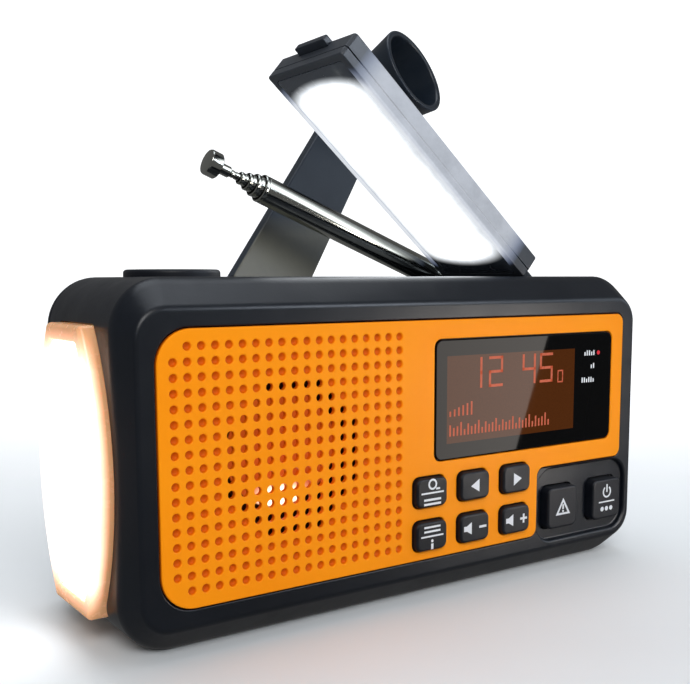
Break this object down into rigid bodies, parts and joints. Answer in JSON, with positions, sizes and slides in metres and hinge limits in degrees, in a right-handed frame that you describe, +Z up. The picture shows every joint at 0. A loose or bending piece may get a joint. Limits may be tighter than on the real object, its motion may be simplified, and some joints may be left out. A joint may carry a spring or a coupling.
{
  "type": "emergency radio",
  "caption": "Hand-crank emergency radio: bevelled case, perforated front plate, display, keys, raised lamp lid with solar cell, side torch, telescopic antenna, folding crank.",
  "frame": {"origin": "centre of the flat underside of the case", "axes": "+Z up, front face with the keys and grille towards -Y, torch end towards -X"},
  "size_m": [0.17, 0.0936, 0.1674],
  "materials": {
    "case": "satin moulded ABS, blue-black",
    "front_plate": "satin moulded ABS, orange",
    "keys": "soft-touch silicone, near black",
    "display_glass": "polished tinted acrylic",
    "display": "dark LCD module",
    "board": "solder-masked laminate",
    "white_board": "white solder-masked laminate",
    "steel": "zinc-plated steel",
    "cone": "pressed paper cone",
    "amber": "translucent amber polycarbonate",
    "lens": "clear ribbed polycarbonate",
    "reflector": "vacuum-metallised plastic",
    "solar": "epoxy-coated solar cell",
    "diffuser": "opal polycarbonate",
    "chrome": "polished nickel-chrome plate",
    "nylon": "natural acetal",
    "cell": "shrink-wrapped lithium cell",
    "port_rubber": "matt rubber"
  },
  "bodies": {
    "case": {"front_shell": "case", "rear_shell": "case", "front_plate": "front_plate", "display_window": "display_glass", "display_module": "display", "main_board": "board", "keypad_mat": "keys", "speaker_frame": "steel", "speaker_cone": "cone", "speaker_magnet": "steel", "torch_bezel": "amber", "torch_lens": "lens", "torch_reflector": "reflector", "torch_led_board": "white_board", "lid_hinge_pin": "steel", "antenna_foot": "steel", "antenna_pin": "steel", "generator": "steel", "gear_plate": "steel", "battery_cell": "cell", "battery_cradle": "nylon", "usb_board": "board", "case_screw_1": "steel", "case_screw_2": "steel", "case_screw_3": "steel", "case_screw_4": "steel"},
    "lid": {"lid_cover": "case", "solar_cell": "solar", "lid_frame": "case", "lamp_diffuser": "diffuser", "lamp_led_board": "white_board"},
    "lid_catch": {"lid_catch": "case"},
    "antenna_base": {"antenna_section_1": "chrome"},
    "antenna_2": {"antenna_section_2": "chrome"},
    "antenna_3": {"antenna_section_3": "chrome"},
    "antenna_4": {"antenna_section_4": "chrome"},
    "antenna_5": {"antenna_section_5": "chrome", "antenna_tip": "chrome"},
    "crank": {"crank_hub": "case", "crank_fold_pin": "steel", "crank_gear": "nylon"},
    "arm": {"crank_arm": "case", "knob_spindle": "steel"},
    "knob": {"crank_knob": "case"},
    "middle_gear": {"middle_gear": "nylon"},
    "pinion": {"generator_pinion": "steel"},
    "lamp_button": {"lamp_button": "keys"},
    "port_cover": {"port_cover": "port_rubber"},
    "key_scan": {"key_scan": "keys"},
    "key_previous": {"key_previous": "keys"},
    "key_next": {"key_next": "keys"},
    "key_menu": {"key_menu": "keys"},
    "key_volume_down": {"key_volume_down": "keys"},
    "key_volume_up": {"key_volume_up": "keys"},
    "key_alarm": {"key_alarm": "keys"},
    "key_power": {"key_power": "keys"}
  },
  "joints": [
    {"name": "lid_hinge", "type": "hinge", "parent": "case", "child": "lid", "pos_m": [0.0537, 0, 0.0821], "axis": [0, 1, 0], "range_deg": [-40.5, 49.5]},
    {"name": "lid_catch_slide", "type": "slide", "parent": "lid", "child": "lid_catch", "axis": [0.7604, 0, -0.6494], "range_m": [0, 0.0015], "stiffness_N_per_m": 300},
    {"name": "antenna_tilt", "type": "hinge", "parent": "case", "child": "antenna_base", "pos_m": [0.0505, 0.0243, 0.08385], "axis": [0, 1, 0], "range_deg": [-21.05, 90]},
    {"name": "antenna_slide_2", "type": "slide", "parent": "antenna_base", "child": "antenna_2", "axis": [-0.9333, 0, 0.3592], "range_m": [0, 0.058]},
    {"name": "antenna_slide_3", "type": "slide", "parent": "antenna_2", "child": "antenna_3", "axis": [-0.9333, 0, 0.3592], "range_m": [0, 0.058]},
    {"name": "antenna_slide_4", "type": "slide", "parent": "antenna_3", "child": "antenna_4", "axis": [-0.9333, 0, 0.3592], "range_m": [0, 0.058]},
    {"name": "antenna_slide_5", "type": "slide", "parent": "antenna_4", "child": "antenna_5", "axis": [-0.9333, 0, 0.3592], "range_m": [0, 0.058]},
    {"name": "crank_turn", "type": "hinge", "parent": "case", "child": "crank", "pos_m": [-0.0264, 0, 0.0662], "axis": [0, 1, 0], "continuous": true},
    {"name": "crank_fold", "type": "hinge", "parent": "crank", "child": "arm", "pos_m": [-0.01989, 0.03329, 0.07385], "axis": [-0.7615, 0, 0.6481], "range_deg": [-1, 163.4]},
    {"name": "knob_spin", "type": "hinge", "parent": "arm", "child": "knob", "pos_m": [0.04125, 0.0564, 0.14569], "axis": [0.3425, -0.849, 0.4024], "continuous": true},
    {"name": "middle_gear_turn", "type": "hinge", "parent": "case", "child": "middle_gear", "pos_m": [-0.0192, 0, 0.05373], "axis": [0, 1, 0], "continuous": true},
    {"name": "pinion_turn", "type": "hinge", "parent": "case", "child": "pinion", "pos_m": [-0.012, 0, 0.04126], "axis": [0, 1, 0], "continuous": true},
    {"name": "press_scan", "type": "slide", "parent": "case", "child": "key_scan", "axis": [0, 1, 0], "range_m": [0, 0.0008], "stiffness_N_per_m": 600},
    {"name": "press_previous", "type": "slide", "parent": "case", "child": "key_previous", "axis": [0, 1, 0], "range_m": [0, 0.0008], "stiffness_N_per_m": 600},
    {"name": "press_next", "type": "slide", "parent": "case", "child": "key_next", "axis": [0, 1, 0], "range_m": [0, 0.0008], "stiffness_N_per_m": 600},
    {"name": "press_menu", "type": "slide", "parent": "case", "child": "key_menu", "axis": [0, 1, 0], "range_m": [0, 0.0008], "stiffness_N_per_m": 600},
    {"name": "press_volume_down", "type": "slide", "parent": "case", "child": "key_volume_down", "axis": [0, 1, 0], "range_m": [0, 0.0008], "stiffness_N_per_m": 600},
    {"name": "press_volume_up", "type": "slide", "parent": "case", "child": "key_volume_up", "axis": [0, 1, 0], "range_m": [0, 0.0008], "stiffness_N_per_m": 600},
    {"name": "press_alarm", "type": "slide", "parent": "case", "child": "key_alarm", "axis": [0, 1, 0], "range_m": [0, 0.0008], "stiffness_N_per_m": 600},
    {"name": "press_power", "type": "slide", "parent": "case", "child": "key_power", "axis": [0, 1, 0], "range_m": [0, 0.0008], "stiffness_N_per_m": 600},
    {"name": "press_lamp_button", "type": "slide", "parent": "case", "child": "lamp_button", "axis": [0, 0, -1], "range_m": [0, 0.0006], "stiffness_N_per_m": 800},
    {"name": "port_cover_hinge", "type": "hinge", "parent": "case", "child": "port_cover", "pos_m": [-0.041, 0.0287, 0.0123], "axis": [-1, 0, 0], "range_deg": [0, 110]}
  ],
  "couplings": [
    {"joint": "antenna_slide_3", "follows": "antenna_slide_2", "ratio": 1},
    {"joint": "antenna_slide_4", "follows": "antenna_slide_2", "ratio": 1},
    {"joint": "antenna_slide_5", "follows": "antenna_slide_2", "ratio": 1},
    {"joint": "middle_gear_turn", "follows": "crank_turn", "ratio": -3},
    {"joint": "pinion_turn", "follows": "crank_turn", "ratio": 9}
  ]
}
